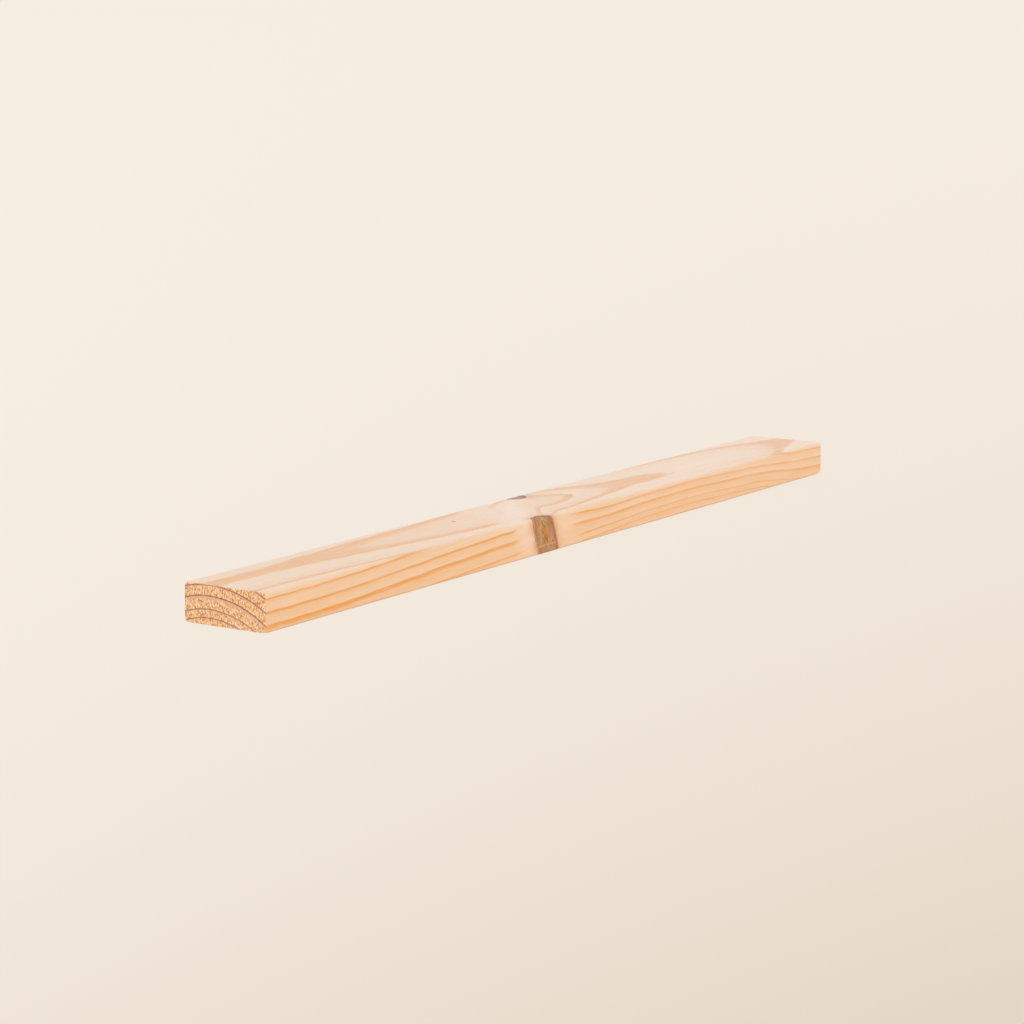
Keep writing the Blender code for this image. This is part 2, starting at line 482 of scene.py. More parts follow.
def skin(along, around, section, capped_ends, extra_relief=None):
    """The points and faces of a length of the stick. capped_ends says whether its ends are sawn ends."""
    rim, outward = section.at(around)
    count = len(around)
    points = np.array([(x, *spot) for x in along for spot in rim])
    ways = np.tile(outward, (len(along), 1))
    relief = planed_relief(points) - worn_arris(points, ways)
    if extra_relief:
        relief += extra_relief(points)
    if capped_ends:
        points = ease_ends(points)
    points[:, 1:] += ways * relief[:, None]
    faces = tube_faces(len(along), count)
    kinds = [PLANED] * len(faces)
    spine_reach = HALF_WIDTH - HALF_THICKNESS
    spine = np.column_stack([np.clip(rim[:, 0], -spine_reach, spine_reach), np.zeros(count)])
    ring_count = round(HALF_THICKNESS / (END_ZONE_STEP if capped_ends else 3.0))
    for end in (0, len(along) - 1):
        side = 1 if end else -1
        before = np.arange(count) + end * count
        for ring in range(1, ring_count + 1):
            share = ring / ring_count
            flat = rim + share * (spine - rim)
            layer = np.column_stack([np.full(count, along[end]), flat])
            if capped_ends:
                relief = sawn_relief(layer) * min(1.0, 0.5 * ring)
                layer = ease_ends(layer)
                layer[:, 0] += side * relief
            after = np.arange(count) + len(points)
            points = np.concatenate([points, layer])
            quads = np.stack([before, np.roll(before, -1), np.roll(after, -1), after], axis=1)
            faces += [tuple(quad if side > 0 else quad[::-1]) for quad in quads]
            kinds += [SAWN if capped_ends else PLANED] * count
            before = after
    return points, faces, kinds


def to_frame(points):
    """From mm round the middle of the batten to metres in the frame."""
    return points * MM + CENTRE


def to_field(points):
    """From metres in the frame to mm round the middle of the batten."""
    return (points - CENTRE) / MM


def mesh_object(name, points, faces, kinds=None):
    """A closed mesh, with points that coincide joined and its faces turned outward."""
    mesh = bpy.data.meshes.new(name)
    mesh.from_pydata(to_frame(np.asarray(points)).tolist(), [], [list(map(int, face)) for face in faces])
    if kinds is not None:
        mesh.polygons.foreach_set("material_index", kinds)
    bm = bmesh.new()
    bm.from_mesh(mesh)
    bmesh.ops.remove_doubles(bm, verts=bm.verts, dist=2e-6)
    bmesh.ops.recalc_face_normals(bm, faces=bm.faces)
    bm.to_mesh(mesh)
    bm.free()
    made = bpy.data.objects.new(name, mesh)
    bpy.context.scene.collection.objects.link(made)
    return made


def branch_rod(branch, radius, seed, roughness=0.12):
    """A slightly uneven rod along a branch, past both wide faces, as points and faces."""
    axis = branch_axis(branch)
    side = np.cross(axis, (0, 1, 0))
    side /= np.linalg.norm(side)
    up = np.cross(axis, side)
    reach = (HALF_THICKNESS + radius + 5) / axis[2]
    count = max(12, round(2 * math.pi * radius / 0.45))
    turns = np.arange(count) * 2 * math.pi / count
    spokes = np.cos(turns)[:, None] * side + np.sin(turns)[:, None] * up
    stations = steps((-reach, reach, 0.8))
    middle = np.array([*branch["middle"], 0.0])
    rings = np.array([middle + place * axis + radius * spokes for place in stations]).reshape(-1, 3)
    sway = noise(rings, (4, 4, 9), seed) + 0.5 * noise(rings, (1.5, 1.5, 3), seed + 1)
    rings += np.tile(spokes, (len(stations), 1)) * (roughness * sway)[:, None]
    return rings, tube_faces(len(stations), count) + cap_faces(len(stations), count)


def teardrop(length, width, count=25):
    """A long drop, pointed at the top and blunter and widest low down, as (along, across) pairs."""
    shares = np.sin(np.linspace(-math.pi / 2, math.pi / 2, count))
    along = shares * length / 2
    across = (1 - shares**2) ** 0.75 * (1 - 0.38 * shares) * width / 2 / 1.07
    back = slice(-2, 0, -1)
    return np.column_stack([np.append(along, along[back]), np.append(across, -across[back])])


def resin_middle():
    x = NEAR_BRANCH["middle"][0] + NEAR_BRANCH["lean"][0] * RESIN_ABOVE_MIDDLE_MM
    return x + RESIN_FROM_KNOT_MIDDLE_MM, RESIN_ABOVE_MIDDLE_MM


def lens_layer(outline, share, y):
    """The lens outline, shrunk by a share and tilted with the branch, at one depth."""
    along = np.array([-math.sin(RESIN_TILT), math.cos(RESIN_TILT)])
    across = np.array([math.cos(RESIN_TILT), math.sin(RESIN_TILT)])
    flat = share * (outline[:, :1] * along + outline[:, 1:] * across)
    x, z = resin_middle()
    return np.column_stack([x + flat[:, 0], np.full(len(flat), y), z + flat[:, 1]])


def closed_loft(layers):
    """Points and faces of a solid through layers that have the same number of points."""
    count = len(layers[0])
    return np.concatenate(layers), tube_faces(len(layers), count) + cap_faces(len(layers), count)


def boolean(target, operation, other):
    """Applies a Boolean, and removes the other solid."""
    modifier = target.modifiers.new(operation, "BOOLEAN")
    modifier.operation = operation
    modifier.solver = "EXACT"
    modifier.object = other
    graph = bpy.context.evaluated_depsgraph_get()
    made = bpy.data.meshes.new_from_object(target.evaluated_get(graph))
    target.modifiers.clear()
    old = target.data
    target.data = made
    bpy.data.meshes.remove(old)
    bpy.data.objects.remove(other)


def tidy_mesh(made, sharp_angle):
    """Triangulates the faces that a Boolean left with many corners, and shades the rest smooth."""
    bm = bmesh.new()
    bm.from_mesh(made.data)
    bmesh.ops.dissolve_degenerate(bm, edges=bm.edges, dist=1e-7)
    bmesh.ops.triangulate(bm, faces=[face for face in bm.faces if len(face.verts) > 4])
    bm.to_mesh(made.data)
    bm.free()
    made.data.shade_smooth()
    made.data.set_sharp_from_angle(angle=math.radians(sharp_angle))


# ---------------------------------------------------------------- what the materials read


def vertex_points(made):
    points = np.empty(len(made.data.vertices) * 3, np.float32)
    made.data.vertices.foreach_get("co", points)
    return to_field(points.reshape(-1, 3).astype(float))


def store(made, name, values):
    kind = "FLOAT_VECTOR" if values.ndim == 2 else "FLOAT"
    layer = made.data.attributes.new(name, kind, "POINT")
    layer.data.foreach_set("vector" if values.ndim == 2 else "value", values.astype(np.float32).ravel())


def store_wood_fields(made):
    points = vertex_points(made)
    store(made, "ring", ring_height(points))
    store(made, "calm", calm_share(points))
    store(made, "pale", pale_share(points))
    store(made, "stain", stain_share(points))
    store(made, "fibre", fibre_flow(points))
    store(made, "place", points)


def store_branch_fields(made, branch):
    points = vertex_points(made)
    store(made, "branch", branch_places(points, branch))
    store(made, "place", points)


class Graph:
    """One material's nodes. A value given to a socket may be a number, a tuple or another socket."""

    def __init__(self, name):
        self.material = bpy.data.materials.new(name)
        self.material.use_nodes = True
        self.tree = self.material.node_tree
        self.shader = self.tree.nodes["Principled BSDF"]

    def node(self, kind, inputs=None, **settings):
        made = self.tree.nodes.new(kind)
        for name, value in settings.items():
            setattr(made, name, value)
        for name, value in (inputs or {}).items():
            self.feed(made.inputs[name], value)
        return made

    def feed(self, socket, value):
        if isinstance(value, bpy.types.NodeSocket):
            self.tree.links.new(value, socket)
        else:
            socket.default_value = value

    def shade(self, **values):
        for name, value in values.items():
            self.feed(self.shader.inputs[name.replace("_", " ")], value)

    def attribute(self, name, output="Fac"):
        return self.node("ShaderNodeAttribute", attribute_name=name).outputs[output]

    def math(self, operation, *values, clamp=False):
        made = self.node("ShaderNodeMath", dict(enumerate(values)), operation=operation, use_clamp=clamp)
        return made.outputs[0]

    def span(self, value, low, high, to_low=0.0, to_high=1.0, smooth=True):
        """value taken from low..high to to_low..to_high, and held at those ends."""
        kind = "SMOOTHSTEP" if smooth else "LINEAR"
        inputs = {0: value, 1: low, 2: high, 3: to_low, 4: to_high}
        return self.node("ShaderNodeMapRange", inputs, interpolation_type=kind).outputs[0]

    def mix(self, share, first, second, kind="MIX"):
        made = self.node("ShaderNodeMix", data_type="RGBA", blend_type=kind)
        self.feed(made.inputs[0], share)
        for socket, value in ((made.inputs[6], first), (made.inputs[7], second)):
            self.feed(socket, value if isinstance(value, bpy.types.NodeSocket) else (*value, 1.0))
        return made.outputs[2]

    def stretch(self, vector, scales, shift=(0.0, 0.0, 0.0)):
        scaled = self.node("ShaderNodeVectorMath", {0: vector, 1: scales, 2: shift}, operation="MULTIPLY_ADD")
        return scaled.outputs[0]

    def noise(self, vector, scales, seed=0.0, detail=2.0, roughness=0.5):
        """Noise from about 0.25 to 0.75 whose cells are 1/scales long, in mm."""
        shift = (seed * 7.3, seed * 3.1, seed * 5.7)
        inputs = {"Vector": self.stretch(vector, scales, shift), "Scale": 1.0}
        inputs |= {"Detail": detail, "Roughness": roughness}
        return self.node("ShaderNodeTexNoise", inputs).outputs["Fac"]

    def parts(self, vector):
        return self.node("ShaderNodeSeparateXYZ", {0: vector}).outputs[:]

    def bump(self, height, strength, distance, normal=None):
        inputs = {"Height": height, "Strength": strength, "Distance": distance}
        if normal is not None:
            inputs["Normal"] = normal
        return self.node("ShaderNodeBump", inputs).outputs[0]


# ---------------------------------------------------------------- materials


def ring_pattern(graph, height, edge):
    """How much of the wood is dark latewood at a height in the field, and the warmth that leads up to it."""
    late, lead = 0.0, 0.0
    for outer, thickness, darkness in RINGS:
        fall = graph.span(height, outer, outer + edge, 1, 0)
        rise = graph.span(height, outer - thickness, outer - 0.35 * thickness, 0, darkness)
        late = graph.math("MAXIMUM", late, graph.math("MULTIPLY", rise, fall))
        slow = graph.span(height, outer - 2.2 * thickness - 1.2, outer, 0, darkness, smooth=False)
        lead = graph.math("MAXIMUM", lead, graph.math("MULTIPLY", slow, fall))
    return late, lead


def canal_dots(graph, fibre, scales, size, share_kept):
    """Thin resin canals, which run with the fibres."""
    cells = graph.node("ShaderNodeTexVoronoi", {"Vector": graph.stretch(fibre, scales), "Scale": 1.0})
    dots = graph.span(cells.outputs["Distance"], size, 1.7 * size, 1, 0)
    chance = graph.node("ShaderNodeSeparateColor", {0: cells.outputs["Color"]}).outputs[0]
    return graph.math("MULTIPLY", dots, graph.math("LESS_THAN", chance, share_kept))


def planed_wood(name):
    graph = Graph(name)
    fibre = graph.attribute("fibre", "Vector")
    ring = graph.attribute("ring")
    calm = graph.attribute("calm")
    far_half = graph.span(graph.parts(fibre)[0], -10, 70)
    jag = graph.noise(fibre, (0.07, 1.6, 0.0), 1, detail=3)
    height = graph.math("ADD", ring, graph.span(jag, 0.2, 0.8, -0.25, 0.25, smooth=False))
    late, lead = ring_pattern(graph, height, 0.24)

    fine = graph.noise(fibre, (0.05, 2.0, 2.0), 2, detail=3, roughness=0.6)
    medium = graph.noise(fibre, (0.012, 0.6, 0.6), 4, detail=2)
    broad = graph.noise(fibre, (0.010, 0.20, 0.20), 3)
    shown = graph.span(calm, 0, 1, 1, 0.04, smooth=False)
    _, aside, up = graph.parts(graph.attribute("place", "Vector"))
    below_top = graph.span(up, 7.6, 8.8, 1, 0)
    low = graph.span(up, 2.0, -7.0)
    far_edge = graph.math("MULTIPLY", far_half, below_top)
    far_top = graph.math("SUBTRACT", far_half, far_edge)
    shown = graph.math("MULTIPLY", shown, graph.span(far_edge, 0, 1, 1.0, 0.56))
    depth = graph.math("MULTIPLY", late, shown)
    depth = graph.math("MULTIPLY", depth, graph.span(fine, 0.3, 0.7, 0.84, 1.0, smooth=False))
    lead = graph.math("MULTIPLY", lead, shown)
    lead = graph.math("MULTIPLY", lead, graph.span(far_edge, 0, 1, 0.34, 0.52))

    older = graph.span(ring, -6, 9, 0.50, 0.0)
    colour = graph.mix(older, WOOD_PALE, WOOD_WARM)
    colour = graph.mix(graph.span(broad, 0.3, 0.7, 0.0, 0.30), colour, WOOD_WARM)
    colour = graph.mix(graph.math("MULTIPLY", graph.attribute("pale"), 0.80), colour, WOOD_CALM)
    # Painted sheen: the top face of the far half is painted paler, towards WOOD_CALM, standing in for the
    # grazing reflection on it
    colour = graph.mix(graph.math("MULTIPLY", far_top, 0.22), colour, WOOD_CALM)
    colour = graph.mix(graph.span(low, 0, 1, 0.0, 0.30), colour, WOOD_WARM)
    colour = graph.mix(lead, colour, WOOD_LATE)
    colour = graph.mix(depth, colour, WOOD_LATE)
    for streak, share in ((fine, 0.34), (medium, 0.16)):
        colour = graph.mix(graph.span(streak, 0.50, 0.78, 0.0, share), colour, WOOD_LATE)
        colour = graph.mix(graph.span(streak, 0.50, 0.24, 0.0, share), colour, WOOD_CALM)
    colour = graph.mix(graph.math("MULTIPLY", graph.attribute("stain"), 0.8), colour, WOOD_STAIN)
    canals = canal_dots(graph, fibre, (0.16, 0.9, 0.9), 0.085, 0.30)
    colour = graph.mix(graph.math("MULTIPLY", canals, 0.35), colour, WOOD_CANAL)
    # Painted shade: the lower arrises of both long sides are darkened towards grey-brown, standing in for the
    # shade where they curve under
    at_edge = graph.span(graph.math("ABSOLUTE", aside), 21.6, 22.2)
    low_arris_shade = graph.math("MULTIPLY", graph.span(up, -7.9, -8.6), at_edge)
    colour = graph.mix(graph.math("MULTIPLY", low_arris_shade, 0.5), colour, LOW_ARRIS_SHADE)

    relief = graph.bump(fine, 0.35, 0.00006)
    relief = graph.bump(canals, -0.5, 0.00005, relief)
    rough = graph.math("ADD", graph.span(fine, 0.3, 0.7, 0.33, 0.41), graph.math("MULTIPLY", depth, -0.04))
    graph.shade(Base_Color=colour, Roughness=rough, Normal=relief, Specular_IOR_Level=0.5)
    graph.shade(Sheen_Weight=0.10, Sheen_Roughness=0.4)
    return graph.material


def sawn_wood(name):
    """End grain off a saw: dark lines where each ring ends, and torn fibres that catch the light between."""
    graph = Graph(name)
    fibre = graph.attribute("fibre", "Vector")
    ring = graph.attribute("ring")
    flat = graph.stretch(graph.attribute("place", "Vector"), (0.0, 1.0, 1.0))
    jag = graph.noise(flat, (0, 1.1, 1.1), 5, detail=2)
    height = graph.math("ADD", ring, graph.span(jag, 0.2, 0.8, -0.16, 0.16, smooth=False))
    late, lead = ring_pattern(graph, height, 0.16)
    line = 0.0
    for outer, _, darkness in RINGS:
        fall = graph.span(height, outer, outer + 0.18, 1, 0)
        rise = graph.span(height, outer - 0.75, outer - 0.38, 0, darkness)
        line = graph.math("MAXIMUM", line, graph.math("MULTIPLY", rise, fall))
    soft = graph.math("SUBTRACT", 1.0, late, clamp=True)

    cells = graph.noise(flat, (0, 1.45, 0.85), 6, detail=2, roughness=0.55)
    torn = graph.noise(flat, (0, 0.60, 0.45), 7, detail=2)
    colour = graph.mix(graph.span(torn, 0.35, 0.65), SAWN_PALE, SAWN_WARM)
    light = graph.math("MULTIPLY", graph.span(cells, 0.535, 0.615), soft)
    colour = graph.mix(graph.math("MULTIPLY", light, 0.80), colour, SAWN_FIBRE)
    dark = graph.math("MULTIPLY", graph.span(cells, 0.46, 0.38), soft)
    colour = graph.mix(graph.math("MULTIPLY", dark, 0.85), colour, SAWN_SHADE)
    colour = graph.mix(graph.math("MULTIPLY", lead, 0.20), colour, SAWN_MAUVE)
    colour = graph.mix(graph.math("MULTIPLY", late, 0.75), colour, SAWN_MAUVE)
    broken = graph.span(torn, 0.30, 0.60, 0.60, 0.95)
    colour = graph.mix(graph.math("MULTIPLY", line, broken), colour, SAWN_LINE)
    dots = canal_dots(graph, fibre, (0.02, 0.8, 0.8), 0.10, 0.4)
    colour = graph.mix(graph.math("MULTIPLY", dots, 0.6), colour, SAWN_SHADE)
    relief = graph.bump(cells, 0.5, 0.00025)
    graph.shade(Base_Color=colour, Roughness=0.85, Normal=relief, Specular_IOR_Level=0.25)
    return graph.material


def pocket_wood(name):
    graph = Graph(name)
    fibre = graph.attribute("fibre", "Vector")
    fine = graph.noise(fibre, (0.3, 1.5, 1.5), 8, detail=3)
    colour = graph.mix(graph.span(fine, 0.3, 0.7), POCKET_DARK, POCKET_PALE)
    relief = graph.bump(fine, 0.5, 0.0002)
    graph.shade(Base_Color=colour, Roughness=0.8, Normal=relief, Specular_IOR_Level=0.3)
    return graph.material


def dead_wood(name, radius, dark, middle, pale, grey, border, scratch):
    """A dead branch: thin rings round its pith, darker towards the bark, and weathered streaks along it."""
    graph = Graph(name)
    branch = graph.attribute("branch", "Vector")
    across = graph.stretch(branch, (1, 1, 0))
    out = graph.node("ShaderNodeVectorMath", {0: across}, operation="LENGTH").outputs["Value"]
    sway = graph.noise(branch, (0.35, 0.35, 0.08), 11, detail=3)
    out = graph.math("ADD", out, graph.span(sway, 0.2, 0.8, -0.9, 0.9, smooth=False))
    wave = graph.math("SINE", graph.math("MULTIPLY", out, 2 * math.pi / 1.15))
    rings = graph.span(wave, -0.4, 1.0)
    streak = graph.noise(branch, (0.8, 0.8, 0.05), 12, detail=4, roughness=0.6)
    patch = graph.noise(branch, (0.22, 0.22, 0.10), 13, detail=2)

    colour = graph.mix(graph.span(patch, 0.35, 0.65), middle, pale)
    colour = graph.mix(graph.math("MULTIPLY", rings, 0.35), colour, dark)
    colour = graph.mix(graph.span(streak, 0.47, 0.64, 0.0, 0.85), colour, dark)
    colour = graph.mix(graph.span(streak, 0.46, 0.32, 0.0, 0.7), colour, grey)
    colour = graph.mix(graph.span(out, 0.55 * radius, 0.92 * radius, 0.0, 0.75), colour, border)
    _, _, height = graph.parts(graph.attribute("place", "Vector"))
    wander = graph.span(sway, 0.2, 0.8, -0.35, 0.35, smooth=False)
    off_line = graph.math("ABSOLUTE", graph.math("ADD", graph.math("ADD", height, 4.9), wander))
    colour = graph.mix(graph.span(off_line, 0.15, 0.65, scratch, 0.0), colour, pale)
    relief = graph.bump(streak, 0.5, 0.0002)
    relief = graph.bump(rings, 0.2, 0.0001, relief)
    graph.shade(Base_Color=colour, Roughness=0.7, Normal=relief, Specular_IOR_Level=0.3)
    return graph.material


def bark_material(name, dark, brown, red):
    graph = Graph(name)
    branch = graph.attribute("branch", "Vector")
    flakes = graph.noise(branch, (0.9, 0.9, 0.22), 15, detail=4, roughness=0.65)
    colour = graph.mix(graph.span(flakes, 0.32, 0.55), dark, brown)
    colour = graph.mix(graph.span(flakes, 0.52, 0.70, 0.0, 0.9), colour, red)
    lower_side = graph.span(graph.parts(branch)[0], -1.0, 4.0, 0.0, 0.75)
    colour = graph.mix(lower_side, colour, dark)
    relief = graph.bump(flakes, 0.8, 0.0003)
    graph.shade(Base_Color=colour, Roughness=0.7, Normal=relief, Specular_IOR_Level=0.3)
    return graph.material


def resin_material(name):
    graph = Graph(name)
    place = graph.attribute("place", "Vector")
    cloud = graph.noise(place, (0.9, 0.9, 0.30), 17, detail=3)
    _, _, height = graph.parts(place)
    low = graph.span(height, 2.0, -2.0)
    share = graph.math("MULTIPLY", graph.span(cloud, 0.35, 0.70), graph.math("SUBTRACT", 1.0, low))
    colour = graph.mix(share, RESIN_DEEP, RESIN_AMBER)
    graph.shade(Base_Color=colour, Roughness=0.35, Normal=graph.bump(cloud, 0.3, 0.0002), IOR=1.5)
    graph.shade(Specular_IOR_Level=0.3)
    return graph.material


# ---------------------------------------------------------------- pieces


def add_material(made, *materials):
    for material in materials:
        made.data.materials.append(material)


# Where the batten's faces lie when they are laid out for baking, as shares of the layout's width and height.
# The four long faces are strips along its whole width, and the sawn ends and the pocket walls share the rows
# above them.
LONG_ROWS = {"up": 0.01, "down": 0.27, "near": 0.53, "far": 0.64}
LONG_ROOM = {"up": 0.25, "down": 0.25, "near": 0.10, "far": 0.10}
END_ROW = 0.76
END_ROOM = (0.44, 0.17)
POCKET_ROW = 0.945
POCKET_ROOM = (0.05, 0.05)
POCKET_WALL_MM = 0.6


def bake_layout(made):
    """Lays the batten's faces out for baking, so that no two of them share a place."""
    mesh = made.data
    layer = mesh.uv_layers.new(name="OFBake")
    points = vertex_points(made)
    corners = np.empty(len(mesh.loops), int)
    mesh.loops.foreach_get("vertex_index", corners)
    faces = len(mesh.polygons)
    totals, kinds = np.empty(faces, int), np.empty(faces, int)
    mesh.polygons.foreach_get("loop_total", totals)
    mesh.polygons.foreach_get("material_index", kinds)
    owner = np.repeat(np.arange(faces), totals)
    spots = points[corners]
    middle = np.stack([np.bincount(owner, spots[:, axis]) for axis in range(3)], axis=1) / totals[:, None]
    half = np.array([HALF_LENGTH, HALF_WIDTH, HALF_THICKNESS])
    share = (spots / half + 1) / 2
    x, y, z = share.T
    flat = np.abs(middle[:, 1]) - HALF_WIDTH < np.abs(middle[:, 2]) - HALF_THICKNESS
    long_faces = {
        "up": (flat & (middle[:, 2] > 0), y),
        "down": (flat & (middle[:, 2] <= 0), y),
        "near": (~flat & (middle[:, 1] < 0), z),
        "far": (~flat & (middle[:, 1] >= 0), z),
    }
    places = np.zeros((len(spots), 2))
    for name, (chosen, across) in long_faces.items():
        here = (chosen & (kinds == PLANED))[owner]
        places[here] = np.column_stack([0.01 + 0.98 * x, LONG_ROWS[name] + LONG_ROOM[name] * across])[here]
    for column, side in enumerate((-1, 1)):
        here = ((kinds == SAWN) & (middle[:, 0] * side > 0))[owner]
        left = 0.02 + 0.49 * column
        places[here] = np.column_stack([left + END_ROOM[0] * y, END_ROW + END_ROOM[1] * z])[here]
    column = 0
    for branch in (NEAR_BRANCH, FAR_BRANCH, PIN_BRANCH):
        close = np.abs(off_pocket(middle, branch)) < POCKET_WALL_MM
        behind = from_branch(middle, branch)[0][:, 1] > 0
        reach = pocket_radius(branch) + 5
        along = (spots[:, 0] - branch["middle"][0]) / (2 * reach) + 0.5
        for chosen in (behind, ~behind):
            here = ((kinds == POCKET) & close & chosen)[owner]
            left = 0.02 + 0.08 * column
            wall = np.column_stack([left + POCKET_ROOM[0] * along, POCKET_ROW + POCKET_ROOM[1] * z])
            places[here] = wall[here]
            column += 1
    layer.data.foreach_set("uv", places.astype(np.float32).ravel())


def make_batten(section, materials):
    length = HALF_LENGTH - END_ZONE
    along = steps(
        (-HALF_LENGTH, -length, END_ZONE_STEP),
        (-length, KNOT_ZONE[0], ALONG_STEP),
        (*KNOT_ZONE, KNOT_ZONE_STEP),
        (KNOT_ZONE[1], length, ALONG_STEP),
        (length, HALF_LENGTH, END_ZONE_STEP),
    )
    points, faces, kinds = skin(along, section.places(ACROSS_STEP), section, capped_ends=True)
    batten = mesh_object("planed_batten", points, faces, kinds)
    add_material(batten, *materials)
    for seed, branch in enumerate((NEAR_BRANCH, FAR_BRANCH, PIN_BRANCH)):
        points, faces = branch_rod(branch, pocket_radius(branch), 50 + 4 * seed)
        rod = mesh_object("pocket_rod", points, faces, [POCKET] * len(faces))
        add_material(rod, *materials)
        boolean(batten, "DIFFERENCE", rod)
    return batten


def branch_places(points, branch):
    """Places in a branch: across it, away from the near edge, and along it, in mm."""
    away, along = from_branch(points, branch)
    axis = branch_axis(branch)
    side = np.cross((0, 1, 0), axis)
    side /= np.linalg.norm(side)
    return np.stack([away @ side, away @ np.cross(axis, side), along], axis=1)


def knot_relief(branch):
    """Dead wood shrinks less, so it stands proud. Its fibres are torn, and checks run out from its pith."""

    def relief(points):
        places = branch_places(points, branch)
        out = np.hypot(places[:, 0], places[:, 1])
        turn = np.arctan2(places[:, 1], places[:, 0])
        streaks = 0.045 * noise(places, (0.9, 0.9, 9), 61) + 0.03 * noise(places, (0.45, 0.45, 5), 62)
        spokes = noise(np.stack([3.2 * turn, 0.12 * out, 0.03 * places[:, 2]], axis=1), 1.0, 63)
        checks = smoothstep(np.abs(spokes), 0.07, 0.0) * smoothstep(out, 0.6, 1.6)
        edge = smoothstep(out, branch["radius"] - 0.7, branch["radius"])
        return 0.05 + streaks - 0.16 * checks - 0.10 * edge

    return relief


def local_skin(name, branch, reach, step, section, fine, relief=None):
    """A short length of the stick, finely meshed on the stretches where a branch comes out of it."""
    middle = branch["middle"][0]
    along = steps((middle - reach, middle + reach, step))
    around = section.places(2.0, step, fine)
    points, faces, _ = skin(along, around, section, capped_ends=False, extra_relief=relief)
    return mesh_object(name, points, faces)


def rod_object(branch, radius, seed):
    return mesh_object("rod", *branch_rod(branch, radius, seed))


def finish_piece(made, node, branch=None, sharp_angle=50):
    tidy_mesh(made, sharp_angle)
    if branch:
        store_branch_fields(made, branch)
    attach(made, "root")
    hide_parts(node)


def make_knot(name, node, branch, seed, section, fine, look, rind):
    """A dead branch and the bark round it, both cut off flush with the stick's faces."""
    radius, reach = branch["radius"], branch["radius"] + 12
    wood = local_skin(name, branch, reach, FINE_STEP, section, fine, knot_relief(branch))
    bark = local_skin(name + "_bark", branch, reach, FINE_STEP, section, fine)
    boolean(wood, "INTERSECT", rod_object(branch, radius, seed))
    inside, outside = radius + KNOT_GAP_MM, radius + KNOT_GAP_MM + branch["bark"]
    boolean(bark, "INTERSECT", rod_object(branch, outside, seed + 2))
    boolean(bark, "DIFFERENCE", rod_object(branch, inside, seed))
    if branch is NEAR_BRANCH:
        boolean(wood, "DIFFERENCE", resin_opening())
    finish_piece(wood, node, branch)
    finish_piece(bark, node + "_bark", branch)
    add_material(wood, dead_wood(name + "_wood", radius, **look))
    add_material(bark, bark_material(name + "_rind", **rind))


def make_resin():
    outline = teardrop(RESIN_LENGTH_MM, RESIN_WIDTH_MM)
    face = -HALF_WIDTH
    domes = [(1.0, -0.05), (0.96, 0.06), (0.84, 0.13), (0.60, 0.19), (0.30, 0.22), (0.08, 0.23)]
    layers = [lens_layer(outline, 0.75, face + RESIN_DEPTH_MM), lens_layer(outline, 1.0, face + 1.2)]
    layers += [lens_layer(outline, share, face - proud) for share, proud in domes]
    resin = mesh_object("resin_lens", *closed_loft(layers))
    store(resin, "place", vertex_points(resin))
    add_material(resin, resin_material("streak_resin"))
    return resin


def resin_opening():
    outline = teardrop(RESIN_LENGTH_MM + 0.5, RESIN_WIDTH_MM + 0.12)
    layers = [lens_layer(outline, 1.0, -HALF_WIDTH + depth) for depth in (RESIN_DEPTH_MM + 0.3, -3.0)]
    return mesh_object("opening", *closed_loft(layers))


def make_pin_knot(section):
    pin = local_skin("pin_knot_core", PIN_BRANCH, 4.0, PIN_STEP, section, (4,))
    boolean(pin, "INTERSECT", rod_object(PIN_BRANCH, PIN_BRANCH["radius"], 90))
    add_material(pin, dead_wood("pin_knot_wood", PIN_BRANCH["radius"], **PIN_LOOK))
    return pin


def make_object():
    section = Section()
    batten = make_batten(section, [planed_wood("planed"), sawn_wood("sawn"), pocket_wood("pocket")])
    finish_piece(batten, "batten")
    store_wood_fields(batten)
    bake_layout(batten)
    near_side, far_side = (0, 1, 2, 3, 4), (4, 5, 6, 7, 8)
    near_looks, far_looks = (NEAR_KNOT_LOOK, NEAR_RIND_LOOK), (FAR_KNOT_LOOK, FAR_RIND_LOOK)
    make_knot("near_knot", "near_edge_knot", NEAR_BRANCH, 60, section, near_side, *near_looks)
    make_knot("far_knot", "far_edge_knot", FAR_BRANCH, 70, section, far_side, *far_looks)
    finish_piece(make_resin(), "resin_streak")
    finish_piece(make_pin_knot(section), "pin_knot", PIN_BRANCH)


# ---------------------------------------------------------------- stage, light and camera

CAMERA_YAW = math.radians(33.42)
CAMERA_PITCH = math.radians(10.04)
CAMERA_DISTANCE = 1.504
CAMERA_ASIDE = (0.0163, -0.0042)
CAMERA_LENS = 105.3

FLOOR_RADIUS = 80
FLOOR_BELOW = 0.0004

# The floor's glow is painted light. It deepens in tone, as painted shade, with the square of how near it is,
# and towards one side of the view
FLOOR_NEAR = 0.26
FLOOR_TONE = 0.14
FLOOR_TONE_NEAR = 5.9
FLOOR_TONE_ASIDE = 0.05
FLOOR_TONE_NEAR_ASIDE = 4.55

SUN_WAY = (0.8, 1.0, -0.45)
SUN_STRENGTH = 0.50
SUN_SPREAD = 50


def make_camera():
    """The camera looks along the stick's length from the near side, a little from above."""
    forward = Vector(
        (
            math.cos(CAMERA_PITCH) * math.cos(CAMERA_YAW),
            math.cos(CAMERA_PITCH) * math.sin(CAMERA_YAW),
            -math.sin(CAMERA_PITCH),
        )
    )
    right = Vector((math.sin(CAMERA_YAW), -math.cos(CAMERA_YAW), 0))
    up = right.cross(forward)
    camera = bpy.data.objects.new("camera", bpy.data.cameras.new("camera"))
    bpy.context.scene.collection.objects.link(camera)
    camera.data.lens = CAMERA_LENS
    camera.data.clip_end = 200
    aim = Vector(CENTRE) - CAMERA_ASIDE[0] * right - CAMERA_ASIDE[1] * up
    camera.location = aim - CAMERA_DISTANCE * forward
    camera.rotation_euler = Matrix((right, up, -forward)).transposed().to_euler()
    bpy.context.scene.camera = camera


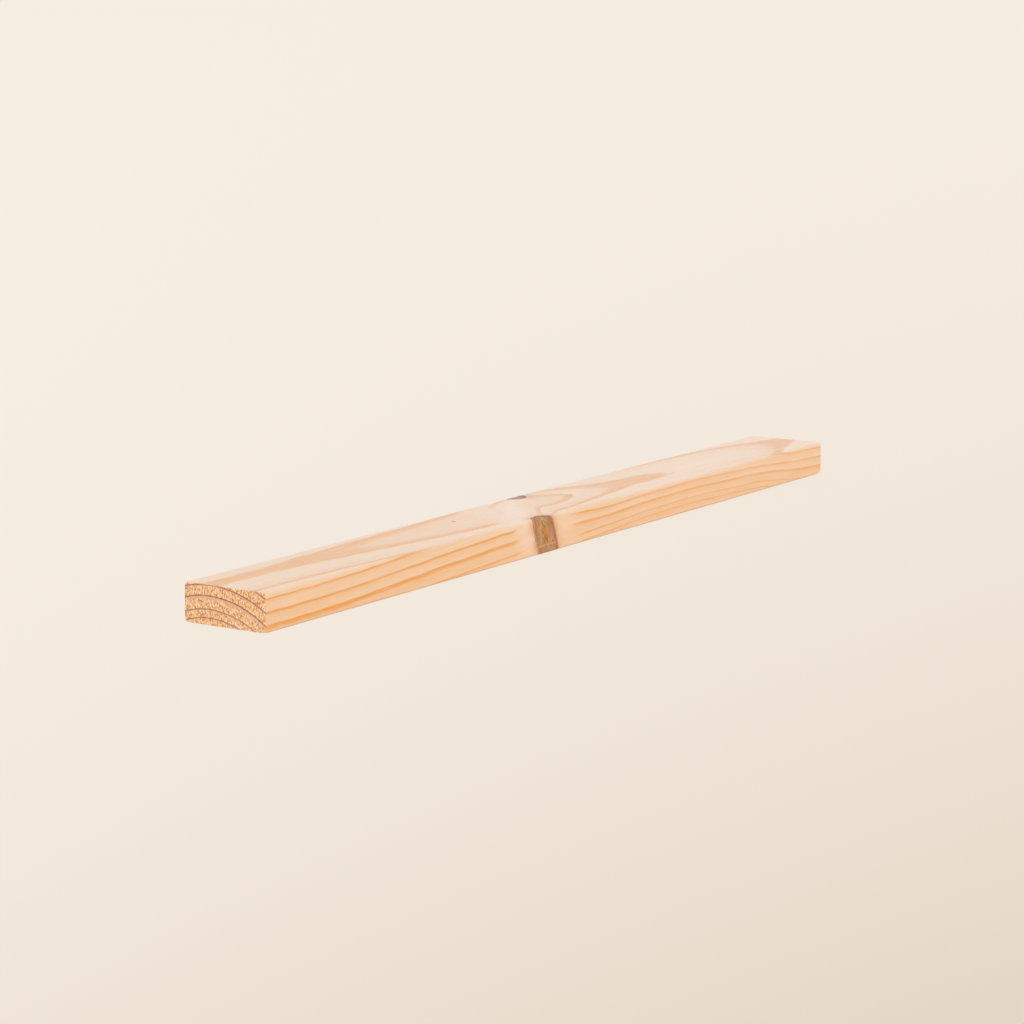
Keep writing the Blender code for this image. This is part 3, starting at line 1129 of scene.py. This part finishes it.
def make_world():
    world = bpy.data.worlds.new("studio")
    world.use_nodes = True
    background = world.node_tree.nodes["Background"]
    background.inputs["Color"].default_value = (*SKY, 1)
    background.inputs["Strength"].default_value = 1.0
    bpy.context.scene.world = world


def make_floor():
    """A wide pale table top that glows by itself as painted light, with painted shade deepening its tone
    towards one near corner.
    """
    bm = bmesh.new()
    bmesh.ops.create_circle(bm, cap_ends=True, segments=96, radius=FLOOR_RADIUS)
    mesh = bpy.data.meshes.new("floor")
    bm.to_mesh(mesh)
    bm.free()
    floor = bpy.data.objects.new("floor", mesh)
    floor.location = (0, 0, stick_low[2] - FLOOR_BELOW)
    bpy.context.scene.collection.objects.link(floor)

    graph = Graph("floor_paint")
    place = graph.node("ShaderNodeTexCoord").outputs["Object"]
    ahead = (math.cos(CAMERA_YAW), math.sin(CAMERA_YAW), 0)
    aside = (math.sin(CAMERA_YAW), -math.cos(CAMERA_YAW), 0)
    stand = CAMERA_DISTANCE * math.cos(CAMERA_PITCH)
    depth = graph.node("ShaderNodeVectorMath", {0: place, 1: ahead}, operation="DOT_PRODUCT").outputs["Value"]
    depth = graph.math("MAXIMUM", graph.math("ADD", depth, stand), 0.4)
    side = graph.node("ShaderNodeVectorMath", {0: place, 1: aside}, operation="DOT_PRODUCT").outputs["Value"]
    near = graph.math("DIVIDE", FLOOR_NEAR, depth)
    side = graph.math("DIVIDE", side, depth)
    tone = graph.math("MULTIPLY_ADD", graph.math("MULTIPLY", near, near), FLOOR_TONE_NEAR, FLOOR_TONE)
    slope = graph.math("MULTIPLY_ADD", near, FLOOR_TONE_NEAR_ASIDE, FLOOR_TONE_ASIDE)
    tilt = graph.math("MULTIPLY", side, slope)
    tone = graph.math("ADD", tone, tilt, clamp=True)
    # Painted shade: the glow deepens from FLOOR_BRIGHT towards FLOOR_DEEP
    colour = graph.mix(tone, FLOOR_BRIGHT, FLOOR_DEEP)
    graph.shade(Base_Color=(0.03, 0.03, 0.03, 1), Roughness=1.0, Specular_IOR_Level=0.0)
    graph.shade(Emission_Color=colour, Emission_Strength=0.98)
    add_material(floor, graph.material)


def make_sun():
    """One wide, soft sun."""
    light = bpy.data.lights.new("key", "SUN")
    light.energy = SUN_STRENGTH
    light.angle = math.radians(SUN_SPREAD)
    sun = bpy.data.objects.new("key", light)
    sun.rotation_euler = Vector(SUN_WAY).to_track_quat("-Z", "Y").to_euler()
    bpy.context.scene.collection.objects.link(sun)


def make_studio():
    bpy.context.scene.view_settings.view_transform = "Standard"
    make_world()
    make_floor()
    make_sun()
    make_camera()


make_object()
make_studio()
